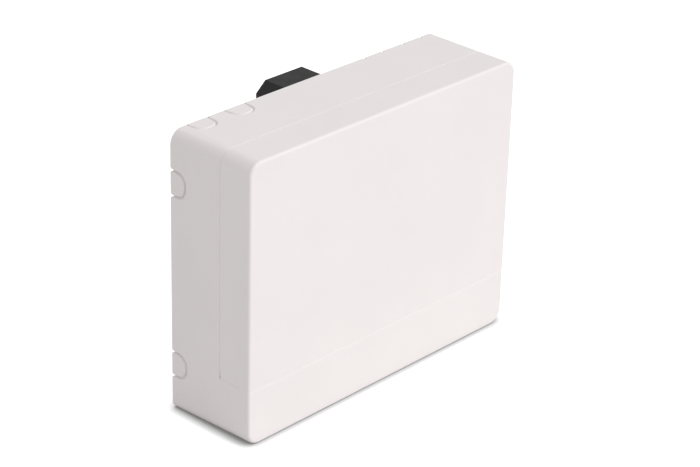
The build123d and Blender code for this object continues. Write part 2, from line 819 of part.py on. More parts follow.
def make_rail_bracket():
    """Moulded bracket on the back: rail seat, fixed hooks below and the channel of the latch."""
    half = clip_width / 2
    relief_y = rail_seat_y - seat_relief
    points = [
        (box_depth, bracket_low),
        (relief_y, bracket_low),
        (hook_back_y - hook_bevel / 2, bracket_low + hook_heel),
        (hook_back_y, bracket_low + hook_heel + hook_bevel),
        (hook_back_y, hook_top - hook_bevel),
        (hook_back_y - hook_bevel, hook_top),
        (flange_back_y, hook_top),
        (flange_back_y, rail_low - rail_side_room),
        (relief_y, rail_low - rail_side_room),
        (relief_y, hook_top + latch_play),
        (rail_seat_y, hook_top + latch_play),
        (rail_seat_y, nose_tip - latch_play),
        (relief_y, nose_tip - latch_play),
        (relief_y, lip_low),
        (rail_seat_y, lip_low),
        (rail_seat_y, bracket_top),
        (box_depth, bracket_top),
    ]
    bracket = side_profile(-half, half, points)
    slot_half = hook_slot_share * half
    bracket -= block(
        -slot_half, slot_half, rail_seat_y, hook_back_y + 1, rail_low - hook_slot_depth, hook_top + 1
    )
    lip_x = channel_half - latch_lip
    lip_root = rail_seat_y - fuse_depth
    bracket += mirrored(block(lip_x, half, lip_root, rail_seat_y + latch_lip_wall, lip_low, bracket_top))
    channel_low = tongue_low - latch_play
    bracket -= block(
        -channel_half, channel_half, channel_floor_y, rail_seat_y, channel_low, bracket_top + 1
    )
    bracket += spring_stop()
    bracket -= block(
        -spring_half_room,
        spring_half_room,
        tongue_mid_y - spring_half_room,
        channel_floor_y + 1,
        spring_window_low,
        spring_stop_low,
    )
    pilot_end = back_inner_y + bracket_screw_length + latch_play
    for z in (bracket_screw_low, bracket_screw_high):
        bracket -= rod(screw_radius, (0, box_depth - 1, z), (0, pilot_end, z))
    core = block(
        bracket_core_wall,
        half - bracket_core_wall,
        box_depth - 1,
        rail_seat_y - bracket_core_wall,
        bracket_screw_low + bracket_core_margin,
        bracket_screw_high - bracket_core_margin,
    )
    return bracket - mirrored(core)


def spring_stop():
    """Stop across the channel, with the peg that holds the upper end of the spring."""
    half = spring_half_room - latch_play
    stop = block(
        -half, half, channel_floor_y - fuse_depth, tongue_back_y, spring_stop_low, spring_stop_high
    )
    peg_end = spring_stop_low - spring_peg_length
    return stop + rod(
        spring_peg_radius, (0, tongue_mid_y, spring_stop_low + fuse_depth), (0, tongue_mid_y, peg_end)
    )


def make_rail_latch():
    """Sliding latch: a nose behind the rail flange, a tongue in the channel and a pull head."""
    tongue_half = channel_half - latch_play
    head_low = bracket_top + latch_play
    tongue = block(
        -tongue_half, tongue_half, tongue_front_y, tongue_back_y, tongue_low, head_low + fuse_depth
    )
    nose_half = channel_half - latch_lip - latch_play
    nose_root = tongue_back_y - latch_play
    nose_top = rail_high + latch_nose_height
    points = [
        (nose_root, rail_high + rail_side_room),
        (flange_back_y, rail_high + rail_side_room),
        (flange_back_y, nose_low),
        (flange_back_y + latch_nose_edge, nose_tip),
        (hook_back_y, rail_high + latch_nose_lead),
        (hook_back_y, nose_top - latch_nose_bevel),
        (hook_back_y - latch_nose_bevel, nose_top),
        (nose_root, nose_top),
    ]
    latch = latch_head(head_low) + tongue + side_profile(-nose_half, nose_half, points)
    latch -= block(
        -spring_half_room,
        spring_half_room,
        tongue_front_y - 1,
        tongue_back_y + 1,
        spring_window_low,
        spring_stop_high + latch_play,
    )
    peg_end = spring_window_low + spring_peg_length
    return latch + rod(
        spring_peg_radius, (0, tongue_mid_y, spring_window_low - fuse_depth), (0, tongue_mid_y, peg_end)
    )


def latch_head(low):
    """Pull head above the bracket: chamfered corners, hollow from below."""
    half = clip_width / 2
    points = [
        (-half, low),
        (half, low),
        (half, latch_top - head_chamfer_z),
        (half - head_chamfer_x, latch_top),
        (head_chamfer_x - half, latch_top),
        (-half, latch_top - head_chamfer_z),
    ]
    face = front_plane(total_depth) * Polygon(*points, align=None)
    head = extrude(face, clip_depth - latch_play, dir=(0, -1, 0))
    core = block(
        head_wall - half,
        half - head_wall,
        tongue_back_y + head_wall,
        total_depth - head_wall,
        low - 1,
        latch_top - head_chamfer_z,
    )
    return head - core


def make_latch_spring():
    """Compression spring between the stop of the bracket and the latch."""
    low = spring_window_low + spring_wire_radius
    high = spring_stop_low - spring_wire_radius
    pitch = (high - low) / spring_turns
    path = Helix(pitch, high - low, spring_radius)
    section = Plane(origin=path @ 0, z_dir=path % 0) * RegularPolygon(spring_wire_radius, 6)
    return Pos(0, tongue_mid_y, low) * sweep(section, path=path)


save(make_rear_housing(), "rear_housing")
save(make_front_cover(), "front_cover")
for number, x in enumerate(adapter_xs, start=1):
    save(make_adapter(x), f"adapter_{number}")
    save(make_insert(x), f"adapter_insert_{number}")
    save(make_sleeve(x), f"alignment_sleeve_{number}")
    save(make_cap(x, -1), f"port_cap_{number}")
    save(make_cap(x, 1), f"inner_cap_{number}")
save(make_splice_tray(), "splice_tray")
save(make_splice_comb(), "splice_comb")
save(make_tray_lid(), "tray_lid")
save(make_clamp(-1), "cable_clamp_left")
save(make_clamp(1), "cable_clamp_right")
clamp_screws = [
    screw(side * clamp_offset + spread, clamp_seat_y - clamp_wall, clamp_z, screw_length)
    for side in (-1, 1)
    for spread in (-clamp_screw_spread, clamp_screw_spread)
]
save(Compound(clamp_screws), "clamp_screws")
tray_screws = [
    screw(x, tray_floor_front, tray_centre_z, screw_length - tray_floor) for x in (-drum_offset, drum_offset)
]
save(Compound(tray_screws), "tray_screws")
save(Compound([bracket_screw(z) for z in (bracket_screw_low, bracket_screw_high)]), "bracket_screws")
save(make_rail_bracket(), "rail_bracket")
save(make_rail_latch(), "rail_latch")
save(make_latch_spring(), "latch_spring")
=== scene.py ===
"""Dresses the packed fibre box: its moulded shells, rail clip, connector row and splice tray, and the stage.

Laid out as an add-on. Run as a script, it registers its classes and calls each operator once.
"""
import json
import math

import bmesh
import bpy
from mathutils import Matrix, Vector

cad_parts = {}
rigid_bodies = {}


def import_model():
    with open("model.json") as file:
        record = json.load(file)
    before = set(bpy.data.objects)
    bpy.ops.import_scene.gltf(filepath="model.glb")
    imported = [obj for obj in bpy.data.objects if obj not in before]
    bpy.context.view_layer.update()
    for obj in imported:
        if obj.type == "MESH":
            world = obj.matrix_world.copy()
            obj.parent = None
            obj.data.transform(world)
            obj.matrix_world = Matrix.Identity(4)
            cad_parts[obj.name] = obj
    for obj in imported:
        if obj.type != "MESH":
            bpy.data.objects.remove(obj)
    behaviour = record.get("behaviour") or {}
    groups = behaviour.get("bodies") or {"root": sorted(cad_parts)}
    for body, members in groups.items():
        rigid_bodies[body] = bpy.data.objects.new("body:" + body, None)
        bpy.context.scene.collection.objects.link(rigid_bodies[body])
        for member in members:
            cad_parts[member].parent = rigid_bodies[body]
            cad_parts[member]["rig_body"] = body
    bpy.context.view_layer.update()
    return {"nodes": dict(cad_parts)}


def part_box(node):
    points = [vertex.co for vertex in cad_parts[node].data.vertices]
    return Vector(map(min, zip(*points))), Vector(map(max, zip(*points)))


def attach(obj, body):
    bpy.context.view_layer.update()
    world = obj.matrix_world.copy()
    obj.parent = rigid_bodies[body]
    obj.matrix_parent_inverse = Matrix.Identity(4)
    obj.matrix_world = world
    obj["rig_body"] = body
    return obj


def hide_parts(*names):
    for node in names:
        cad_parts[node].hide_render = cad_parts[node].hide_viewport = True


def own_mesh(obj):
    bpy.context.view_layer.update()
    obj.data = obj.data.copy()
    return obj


bl_info = {
    "name": "Rail fibre box",
    "version": (1, 0, 0),
    "blender": (4, 5, 0),
    "location": "View3D > Sidebar > Fibre box",
    "description": "Finishes and stages the rail fibre box",
    "category": "Object",
}

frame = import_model()
MM = 0.001
ADAPTERS = range(1, 5)
SIDES = (-1, 1)
BLACK = (0.0, 0.0, 0.0, 1.0)
TOUCH = 0.002 * MM
SLACK = 0.01 * MM
MOULDING_ANGLE = 32.0
SCREW_ANGLE = 30.0
WIRE_ANGLE = 60.0


class ShellSettings(bpy.types.PropertyGroup):
    """Sizes and colours of the white moulded shells."""

    color: bpy.props.FloatVectorProperty(
        name="Shell colour", description="Colour of the white moulding", subtype="COLOR",
        default=(0.86, 0.813, 0.808), min=0.0, max=1.0,
    )
    grain: bpy.props.FloatProperty(
        name="Grain", description="Width of one grain of the moulded texture", unit="LENGTH",
        default=0.35 * MM,
    )
    grain_depth: bpy.props.FloatProperty(
        name="Grain depth", description="Height of the moulded texture", unit="LENGTH", default=0.012 * MM
    )
    roughness: bpy.props.FloatProperty(
        name="Roughness", description="Mean roughness of the moulding", default=0.42, min=0.0, max=1.0
    )
    edge: bpy.props.FloatProperty(
        name="Edge rounding", description="Rounding of the moulded edges", unit="LENGTH", default=0.15 * MM
    )
    top_groove: bpy.props.FloatProperty(
        name="Top groove", description="Depth of the grooves round the knock-outs on top", unit="LENGTH",
        default=0.6 * MM,
    )
    top_flare: bpy.props.FloatProperty(
        name="Top flare", description="Extra width of those grooves towards their discs", unit="LENGTH",
        default=0.45 * MM,
    )
    side_groove: bpy.props.FloatProperty(
        name="Side groove", description="Depth of the grooves round the side knock-outs", unit="LENGTH",
        default=0.8 * MM,
    )
    side_flare: bpy.props.FloatProperty(
        name="Side flare", description="Extra width of those grooves towards their discs", unit="LENGTH",
        default=0.3 * MM,
    )
    knockout_shift: bpy.props.FloatProperty(
        name="Knock-out shift", description="Moves the left pair on top towards the middle", unit="LENGTH",
        default=2.2 * MM,
    )
    lower_corner: bpy.props.FloatProperty(
        name="Lower corner", description="Rounding of the lower side edges at the rear", unit="LENGTH",
        default=2.4 * MM,
    )
    seam: bpy.props.FloatProperty(
        name="Seam", description="Width of the gap that shows between the closed shells", unit="LENGTH",
        default=0.01 * MM,
    )


class ClipSettings(bpy.types.PropertyGroup):
    """Sizes and colours of the rail clip and its spring."""

    color: bpy.props.FloatVectorProperty(
        name="Clip colour", description="Colour of the black nylon", subtype="COLOR",
        default=(0.018, 0.0175, 0.0185), min=0.0, max=1.0,
    )
    head_back: bpy.props.FloatProperty(
        name="Head back", description="How far the rear face of the pull head is set in", unit="LENGTH",
        default=0.6 * MM,
    )
    head_down: bpy.props.FloatProperty(
        name="Head down", description="How far the top of the pull head is set down", unit="LENGTH",
        default=0.5 * MM,
    )
    wire_color: bpy.props.FloatVectorProperty(
        name="Wire colour", description="Colour of the spring wire", subtype="COLOR",
        default=(0.46, 0.46, 0.48), min=0.0, max=1.0,
    )
    spring_radius: bpy.props.FloatProperty(
        name="Spring radius", description="Radius of the coil's centre line", unit="LENGTH", default=1.85 * MM
    )
    wire_radius: bpy.props.FloatProperty(
        name="Wire radius", description="Radius of the spring wire", unit="LENGTH", default=0.28 * MM
    )
    spring_turns: bpy.props.IntProperty(name="Turns", description="Turns of the spring", default=6, min=1)


class InnerSettings(bpy.types.PropertyGroup):
    """Sizes and colours of what lies inside the box."""

    adapter_color: bpy.props.FloatVectorProperty(
        name="Adapter colour", description="Colour of the connector adapters", subtype="COLOR",
        default=(0.02, 0.13, 0.46), min=0.0, max=1.0,
    )
    insert_color: bpy.props.FloatVectorProperty(
        name="Insert colour", description="Colour of the latch inserts", subtype="COLOR",
        default=(0.78, 0.74, 0.62), min=0.0, max=1.0,
    )
    cap_color: bpy.props.FloatVectorProperty(
        name="Cap colour", description="Colour of the dust caps", subtype="COLOR",
        default=(0.8, 0.8, 0.77), min=0.0, max=1.0,
    )
    tray_color: bpy.props.FloatVectorProperty(
        name="Tray colour", description="Colour of the splice tray and the cable clamps", subtype="COLOR",
        default=(0.66, 0.67, 0.66), min=0.0, max=1.0,
    )
    comb_color: bpy.props.FloatVectorProperty(
        name="Comb colour", description="Colour of the soft splice comb", subtype="COLOR",
        default=(0.07, 0.075, 0.085), min=0.0, max=1.0,
    )
    lid_color: bpy.props.FloatVectorProperty(
        name="Lid tint", description="Tint of the clear tray lid", subtype="COLOR",
        default=(0.93, 0.96, 0.97), min=0.0, max=1.0,
    )
    screw_color: bpy.props.FloatVectorProperty(
        name="Screw colour", description="Colour of the zinc-plated screws", subtype="COLOR",
        default=(0.6, 0.6, 0.62), min=0.0, max=1.0,
    )
    sleeve_color: bpy.props.FloatVectorProperty(
        name="Sleeve colour", description="Colour of the ceramic alignment sleeves", subtype="COLOR",
        default=(0.86, 0.85, 0.82), min=0.0, max=1.0,
    )
    head_radius: bpy.props.FloatProperty(
        name="Head radius", description="Radius of a pan head", unit="LENGTH", default=2.3 * MM
    )
    head_height: bpy.props.FloatProperty(
        name="Head height", description="Height of a pan head", unit="LENGTH", default=1.6 * MM
    )
    shank_radius: bpy.props.FloatProperty(
        name="Shank radius", description="Radius of a screw over its thread", unit="LENGTH", default=1.23 * MM
    )
    clamp_spread: bpy.props.FloatProperty(
        name="Clamp spread", description="From the middle of a cable clamp to each of its screws",
        unit="LENGTH", default=5.4 * MM,
    )
    thread_pitch: bpy.props.FloatProperty(
        name="Thread pitch", description="Pitch of the screw threads", unit="LENGTH", default=0.9 * MM
    )


class StageSettings(bpy.types.PropertyGroup):
    """Camera, lamps and floor."""

    azimuth: bpy.props.FloatProperty(
        name="Azimuth", description="Camera's turn to the left of the front", subtype="ANGLE",
        default=math.radians(46.993),
    )
    elevation: bpy.props.FloatProperty(
        name="Elevation", description="Camera's height above the horizon", subtype="ANGLE",
        default=math.radians(26.421),
    )
    roll: bpy.props.FloatProperty(
        name="Roll", description="Camera's roll", subtype="ANGLE", default=math.radians(1.589)
    )
    distance: bpy.props.FloatProperty(
        name="Distance", description="From the camera to its target", unit="LENGTH", default=0.77586
    )
    target: bpy.props.FloatVectorProperty(
        name="Target", description="Point that the camera looks at", subtype="TRANSLATION",
        default=(0.0, -0.0066, 0.0501),
    )
    lens: bpy.props.FloatProperty(name="Lens", description="Focal length in millimetres", default=119.5)
    shift: bpy.props.FloatVectorProperty(
        name="Shift", description="Lens shift of the framing", size=2, default=(0.0055, -0.0034)
    )
    ambient: bpy.props.FloatProperty(
        name="Ambient", description="Strength of the white surroundings", default=0.67
    )
    key: bpy.props.FloatProperty(name="Key", description="Strength of the key lamp", default=1.35)
    key_from: bpy.props.FloatVectorProperty(
        name="Key from", description="Direction that the key lamp shines from", subtype="DIRECTION",
        default=(0.42, -0.8, 0.485),
    )
    key_spread: bpy.props.FloatProperty(
        name="Key spread", description="Angle over which the key lamp is spread", subtype="ANGLE",
        default=math.radians(40),
    )
    floor_color: bpy.props.FloatVectorProperty(
        name="Floor colour", description="Colour of the floor", subtype="COLOR", default=(0.72, 0.72, 0.72),
        min=0.0, max=1.0,
    )
    floor_half: bpy.props.FloatProperty(
        name="Floor half", description="Half the width of the floor", unit="LENGTH", default=3.0
    )
    floor_lift: bpy.props.FloatProperty(
        name="Floor lift", description="White that the camera sees on the floor besides its own light",
        default=0.78,
    )
    # The following settings shape the painted contact shadow: ambient occlusion darkens the floor's colour
    # and lift for the camera.
    painted_shadow_width: bpy.props.FloatProperty(
        name="Contact shadow", description="Width of the dark line where the box stands on the floor",
        unit="LENGTH", default=4.5 * MM,
    )
    painted_shadow_least_light: bpy.props.FloatProperty(
        name="Contact light", description="Least share of the light that this dark line gets", default=0.28
    )
    lift_fall: bpy.props.FloatProperty(
        name="Lift fall", description="Power by which the floor's lift fades in that line", default=1.75
    )
    paper_fall: bpy.props.FloatProperty(
        name="Paper fall", description="Power by which the floor's colour fades in that line", default=0.6
    )


class FibreBoxSettings(bpy.types.PropertyGroup):
    """All settings of the fibre box."""

    shell: bpy.props.PointerProperty(type=ShellSettings, name="Shells", description="White moulded shells")
    clip: bpy.props.PointerProperty(type=ClipSettings, name="Clip", description="Rail clip and spring")
    inner: bpy.props.PointerProperty(type=InnerSettings, name="Inside", description="Pieces inside the box")
    stage: bpy.props.PointerProperty(type=StageSettings, name="Stage", description="Camera, lamps and floor")


def feed(tree, socket, value):
    """Links a socket to another node's, or gives it a constant value."""
    if isinstance(value, bpy.types.NodeSocket):
        tree.links.new(value, socket)
    else:
        socket.default_value = value


class Shader:
    """A material whose nodes are added one after another."""

    def __init__(self, name):
        self.material = bpy.data.materials.new(name)
        self.material.use_nodes = True
        self.tree = self.material.node_tree
        self.surface = self.tree.nodes["Principled BSDF"]
        self.output = self.tree.nodes["Material Output"]
        self.position = self.add("ShaderNodeTexCoord").outputs["Object"]

    def add(self, kind, values=None, **settings):
        node = self.tree.nodes.new(kind)
        for key, value in settings.items():
            setattr(node, key, value)
        for key, value in (values or {}).items():
            feed(self.tree, node.inputs[key], value)
        return node

    def set(self, **values):
        """Constant values, or links, on the main shader's own sockets."""
        for key, value in values.items():
            feed(self.tree, self.surface.inputs[key.replace("_", " ")], value)

    def math(self, operation, first, second):
        return self.add("ShaderNodeMath", {0: first, 1: second}, operation=operation).outputs[0]

    def noise(self, size, detail=2.0, roughness=0.5):
        """Noise whose blotches are about size metres wide."""
        values = {"Vector": self.position, "Scale": 1.0 / size, "Detail": detail, "Roughness": roughness}
        return self.add("ShaderNodeTexNoise", values).outputs["Fac"]

    def range(self, value, low, high, start=0.3, stop=0.7):
        """A value from start to stop mapped to low to high."""
        values = {"Value": value, "From Min": start, "From Max": stop, "To Min": low, "To Max": high}
        return self.add("ShaderNodeMapRange", values).outputs["Result"]

    def mix(self, share, first, second):
        """Two colours mixed; sockets 0, 6, 7 and 2 of the node are those of its colour mode."""
        return self.add("ShaderNodeMix", {0: share, 6: first, 7: second}, data_type="RGBA").outputs[2]

    def rounded(self, radius):
        """Normals that round the edges off."""
        return self.add("ShaderNodeBevel", {"Radius": radius}, samples=6).outputs["Normal"]

    def edges(self, radius):
        """1 on the rim of an edge, 0 on a flat face."""
        rim = 0.75
        values = {0: self.rounded(radius), 1: self.add("ShaderNodeNewGeometry").outputs["Normal"]}
        dot = self.add("ShaderNodeVectorMath", values, operation="DOT_PRODUCT").outputs["Value"]
        return self.range(dot, 1.0, 0.0, start=rim, stop=1.0)

    def bump(self, height, distance, strength=1.0, normal=None):
        values = {"Height": height, "Distance": distance, "Strength": strength}
        if normal is not None:
            values["Normal"] = normal
        return self.add("ShaderNodeBump", values).outputs["Normal"]


def tone(color, factor):
    """A colour made lighter or darker, as RGBA."""
    return [min(1.0, c * factor) for c in color[:3]] + [1.0]


def moulded(name, color, grain, depth, roughness, wear_and_highlight=1.06, edge=0.12 * MM, specular=0.5):
    """Moulded plastic: fine eroded grain, slow flow marks, soft and rubbed edges."""
    flow_size = 30 * MM
    flow_dark, flow_light = 0.985, 1.012
    worn_and_highlit_rim = 0.25 * MM
    worn_and_highlit_share = 0.6
    speck_grains = 4
    speck_depth = 2 * depth
    cloud_size = 6 * MM
    glossier, duller = 0.04, 0.05
    shader = Shader(name)
    normal = shader.rounded(edge)
    flow = shader.range(shader.noise(flow_size, detail=3.0), 0.0, 1.0)
    base = shader.mix(flow, tone(color, flow_dark), tone(color, flow_light))
    # Wear and painted highlight: the colour is lightened along every edge rim by the edge factor.
    worn_and_highlit = shader.range(shader.edges(worn_and_highlit_rim), 0.0, worn_and_highlit_share, start=0.0, stop=1.0)
    base = shader.mix(worn_and_highlit, base, tone(color, wear_and_highlight))
    fine = shader.noise(grain, detail=4.0, roughness=0.6)
    normal = shader.bump(fine, depth, strength=0.6, normal=normal)
    speck = shader.noise(grain * speck_grains, detail=2.0)
    normal = shader.bump(speck, speck_depth, strength=0.35, normal=normal)
    cloud = shader.noise(cloud_size, detail=3.0)
    rough = shader.range(cloud, roughness - glossier, roughness + duller)
    shader.set(Base_Color=base, Normal=normal, Roughness=rough, Specular_IOR_Level=specular)
    return shader.material


def clear_plastic(name, tint):
    """Clear polished polycarbonate with faint flow lines."""
    flow_size = 18 * MM
    flow_height = 0.05 * MM
    cloud_size = 9 * MM
    polished, hazy = 0.03, 0.08
    shader = Shader(name)
    flow = shader.noise(flow_size, detail=2.0)
    rough = shader.range(shader.noise(cloud_size, detail=3.0), polished, hazy)
    shader.set(Roughness=rough, Normal=shader.bump(flow, flow_height, strength=0.3))
    shader.set(Transmission_Weight=1.0, IOR=1.58, Base_Color=tone(tint, 1.0))
    return shader.material


def soft_rubber(name, color):
    """Matt elastomer with a dusty grain."""
    dust_size = 2 * MM
    clean_tone, dusty_tone = 0.85, 1.25
    clean_rough, dusty_rough = 0.62, 0.78
    grain = 0.25 * MM
    depth = 0.03 * MM
    shader = Shader(name)
    dust = shader.range(shader.noise(dust_size, detail=5.0, roughness=0.65), 0.0, 1.0)
    shader.set(Base_Color=shader.mix(dust, tone(color, clean_tone), tone(color, dusty_tone)))
    shader.set(Normal=shader.bump(shader.noise(grain, detail=3.0), depth, strength=0.7))
    shader.set(Roughness=shader.range(dust, clean_rough, dusty_rough, start=0.0, stop=1.0))
    return shader.material


def plated_steel(name, color):
    """Plated steel: bright, with a fine grain and a cloudy plate."""
    cloud_size = 1.5 * MM
    dark, bright = 0.88, 1.1
    gloss_size = 0.8 * MM
    glossy, dull = 0.22, 0.38
    grain = 0.15 * MM
    depth = 0.01 * MM
    shader = Shader(name)
    cloud = shader.range(shader.noise(cloud_size, detail=4.0), 0.0, 1.0)
    shader.set(Base_Color=shader.mix(cloud, tone(color, dark), tone(color, bright)))
    rough = shader.range(shader.noise(gloss_size, detail=3.0), glossy, dull)
    shader.set(Roughness=rough, Metallic=1.0)
    shader.set(Normal=shader.bump(shader.noise(grain, detail=2.0), depth, strength=0.5))
    return shader.material


def dress(material, *names):
    """Gives CAD nodes a material in place of their plain one."""
    for name in names:
        mesh = frame["nodes"][name].data
        mesh.materials.clear()
        mesh.materials.append(material)


def merged_copy(node, name):
    """New piece with a node's mesh, its loose triangles joined."""
    mesh = frame["nodes"][node].data.copy()
    mesh.name = name
    work = bmesh.new()
    work.from_mesh(mesh)
    bmesh.ops.remove_doubles(work, verts=work.verts, dist=TOUCH)
    work.to_mesh(mesh)
    work.free()
    piece = bpy.data.objects.new(name, mesh)
    bpy.context.scene.collection.objects.link(piece)
    return piece


def made_mesh(piece):
    """Turns a piece with modifiers into a plain mesh."""
    graph = bpy.context.evaluated_depsgraph_get()
    mesh = bpy.data.meshes.new_from_object(piece.evaluated_get(graph))
    piece.modifiers.clear()
    piece.data = mesh
    return piece


def smooth(piece, angle):
    """Smooth faces, with a sharp edge wherever two of them meet at more than an angle."""
    work = bmesh.new()
    work.from_mesh(piece.data)
    for face in work.faces:
        face.smooth = True
    for edge in work.edges:
        edge.smooth = len(edge.link_faces) == 2 and edge.calc_face_angle() < math.radians(angle)
    work.to_mesh(piece.data)
    work.free()
    return piece


def near(value, target):
    """Whether a coordinate is the given one, but for rounding."""
    return abs(value - target) < TOUCH


def finished_shell(node, name, material, rule=None):
    """A shell whose fillets shade smoothly beside its flat faces, in place of its CAD node.

    The rule, where there is one, says where each point of the node goes.
    """
    piece = merged_copy(node, name)
    if rule is not None:
        for vertex in piece.data.vertices:
            vertex.co = rule(vertex.co.copy())
    smooth(piece, MOULDING_ANGLE)
    weighted = piece.modifiers.new("Flat faces", "WEIGHTED_NORMAL")
    weighted.keep_sharp = True
    made_mesh(piece)
    piece.data.materials.clear()
    piece.data.materials.append(material)
    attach(piece, frame["nodes"][node]["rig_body"])
    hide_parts(node)
    return piece


class Tree:
    """A Geometry Nodes tree with named inputs, whose result gets one material."""

    NUMBERS = {float: "NodeSocketFloat", int: "NodeSocketInt"}

    def __init__(self, name, **inputs):
        self.group = bpy.data.node_groups.new(name, "GeometryNodeTree")
        self.group.interface.new_socket("Geometry", in_out="INPUT", socket_type="NodeSocketGeometry")
        self.group.interface.new_socket("Geometry", in_out="OUTPUT", socket_type="NodeSocketGeometry")
        self.values = inputs
        for key, value in inputs.items():
            kind = self.NUMBERS.get(type(value), "NodeSocketMaterial")
            self.group.interface.new_socket(key, in_out="INPUT", socket_type=kind)
        self.input = self.group.nodes.new("NodeGroupInput")

    def add(self, kind, values=None, **settings):
        node = self.group.nodes.new(kind)
        for key, value in settings.items():
            setattr(node, key, value)
        for key, value in (values or {}).items():
            for one in value if isinstance(value, list) else [value]:
                feed(self.group, node.inputs[key], one)
        return node.outputs[0]

    def math(self, operation, first, second):
        return self.add("ShaderNodeMath", {0: first, 1: second}, operation=operation)

    def share(self, key, factor):
        """A named input times a factor."""
        return self.math("MULTIPLY", self.input.outputs[key], factor)

    def vector(self, x=0.0, y=0.0, z=0.0):
        return self.add("ShaderNodeCombineXYZ", {"X": x, "Y": y, "Z": z})

    def moved(self, geometry, offset=None, turn=None):
        values = {"Geometry": geometry}
        if offset is not None:
            values["Translation"] = offset
        if turn is not None:
            values["Rotation"] = turn
        return self.add("GeometryNodeTransform", values)

    def joined(self, *geometries):
        return self.add("GeometryNodeJoinGeometry", {"Geometry": list(geometries)})

    def wired(self, curve, corners, radius):
        """A round wire along a curve."""
        circle = {"Resolution": corners, "Radius": radius}
        profile = self.add("GeometryNodeCurvePrimitiveCircle", circle)
        wire = {"Curve": curve, "Profile Curve": profile, "Fill Caps": True}
        return self.add("GeometryNodeCurveToMesh", wire)

    def finished(self, one):
        """Ends the tree: its form on each point, made real, and the material set."""
        places = {"Points": self.input.outputs["Geometry"], "Instance": one}
        placed = self.add("GeometryNodeInstanceOnPoints", places)
        real = self.add("GeometryNodeRealizeInstances", {"Geometry": placed})
        material = self.input.outputs["Material"]
        final = self.add("GeometryNodeSetMaterial", {"Geometry": real, "Material": material})
        output = self.group.nodes.new("NodeGroupOutput")
        self.group.links.new(final, output.inputs["Geometry"])

    def grown(self, name, points):
        """A plain mesh piece that the tree makes on the given points."""
        mesh = bpy.data.meshes.new(name)
        mesh.from_pydata(points, [], [])
        piece = bpy.data.objects.new(name, mesh)
        bpy.context.scene.collection.objects.link(piece)
        modifier = piece.modifiers.new(name, "NODES")
        modifier.node_group = self.group
        for item in self.group.interface.items_tree:
            if item.in_out == "INPUT" and item.name in self.values:
                modifier[item.identifier] = self.values[item.name]
        return made_mesh(piece)


def screw_tree(material, head_radius, head_height, shank_radius, length, pitch):
    """Screw along +Y from its seat: a turned head with a cross recess and a threaded shank.

    The factors are shares of the head's radius and height, the shank's radius, the length and the pitch.
    """
    head_crown = 0.8
    recess_arm = 1.1
    recess_slot = 0.3
    recess_depth = 1.1
    shank_top = 0.8
    shank_tip = 0.35
    thread_top = 0.82
    thread_tip = 0.5
    thread_run = 0.9
    thread_start = 0.92
    thread_wire = 0.24
    tree = Tree(
        "Screw",
        HeadRadius=head_radius,
        HeadHeight=head_height,
        ShankRadius=shank_radius,
        Length=length,
        Pitch=pitch,
        Material=material,
    )
    get = tree.input.outputs
    head = tree.add(
        "GeometryNodeMeshCone",
        {"Vertices": 36, "Radius Top": tree.share("HeadRadius", head_crown),
         "Radius Bottom": get["HeadRadius"], "Depth": get["HeadHeight"]},
    )
    arm = tree.share("HeadRadius", recess_arm)
    slot = tree.share("HeadRadius", recess_slot)
    deep = tree.share("HeadHeight", recess_depth)
    along = tree.add("GeometryNodeMeshCube", {"Size": tree.vector(arm, slot, deep)})
    across = tree.add("GeometryNodeMeshCube", {"Size": tree.vector(slot, arm, deep)})
    lift = tree.vector(z=get["HeadHeight"])
    cross = tree.joined(tree.moved(along, lift), tree.moved(across, lift))
    head = tree.add("GeometryNodeMeshBoolean", {"Mesh 1": head, "Mesh 2": cross}, operation="DIFFERENCE")
    shank = tree.add(
        "GeometryNodeMeshCone",
        {"Vertices": 24, "Radius Top": tree.share("ShankRadius", shank_top),
         "Radius Bottom": tree.share("ShankRadius", shank_tip), "Depth": get["Length"]},
    )
    shank = tree.moved(shank, tree.vector(z=tree.share("Length", -1.0)))
    helix = tree.add(
        "GeometryNodeCurveSpiral",
        {"Resolution": 20, "Rotations": tree.math("DIVIDE", get["Length"], get["Pitch"]),
         "Start Radius": tree.share("ShankRadius", thread_tip),
         "End Radius": tree.share("ShankRadius", thread_top), "Height": tree.share("Length", thread_run)},
    )
    thread = tree.wired(helix, corners=4, radius=tree.share("Pitch", thread_wire))
    thread = tree.moved(thread, tree.vector(z=tree.share("Length", -thread_start)))
    one = tree.joined(head, shank, thread)
    one = tree.moved(one, turn=tree.vector(x=math.radians(90)))
    tree.finished(one)
    return tree


def screws(name, node, material, inner, spread=0.0):
    """Pan-head screws in place of a CAD node: one at each side, or two where they are spread."""
    low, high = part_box(node)
    middle = high.x - inner.head_radius - spread
    seat_y = low.y + inner.head_height
    seat_z = (low.z + high.z) / 2
    ends = SIDES if spread else (0,)
    seats = [(side * middle + end * spread, seat_y, seat_z) for side in SIDES for end in ends]
    length = high.y - low.y - inner.head_height
    tree = screw_tree(
        material, inner.head_radius, inner.head_height, inner.shank_radius, length, inner.thread_pitch
    )
    piece = smooth(tree.grown(name, seats), SCREW_ANGLE)
    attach(piece, "housing")
    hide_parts(node)


